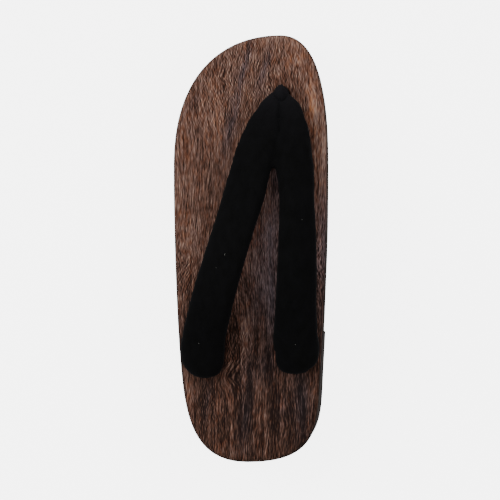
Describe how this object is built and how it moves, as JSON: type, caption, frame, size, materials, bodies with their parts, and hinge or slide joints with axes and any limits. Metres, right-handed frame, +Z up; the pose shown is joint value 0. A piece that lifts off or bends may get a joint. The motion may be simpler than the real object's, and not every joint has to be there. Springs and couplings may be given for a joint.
{
  "type": "geta sandal",
  "caption": "Left wooden geta sandal: foot-shaped paulownia block with heel and arch on rubber pads, padded velvet thong strap through holes, held by a toe loop and knots.",
  "frame": {"origin": "on the floor under the middle of the sandal's bounding box", "axes": "+Y to the toe, +X to the big-toe side, +Z up out of the foot side"},
  "size_m": [0.1022, 0.28, 0.0808],
  "materials": {
    "burnt_paulownia": "paulownia burnt and brushed, thin wax, open grain lengthwise",
    "sole_rubber": "matt black rubber sheet, moulded fine ribs",
    "velvet": "black cotton velvet over a padded cord",
    "hemp_cord": "laid hemp cord, knotted"
  },
  "bodies": {
    "root": {"base": "burnt_paulownia", "front_sole": "sole_rubber", "heel_sole": "sole_rubber", "strap": "velvet", "toe_loop": "velvet", "knot_front": "hemp_cord", "knot_lateral": "hemp_cord", "knot_medial": "hemp_cord"}
  },
  "joints": []
}
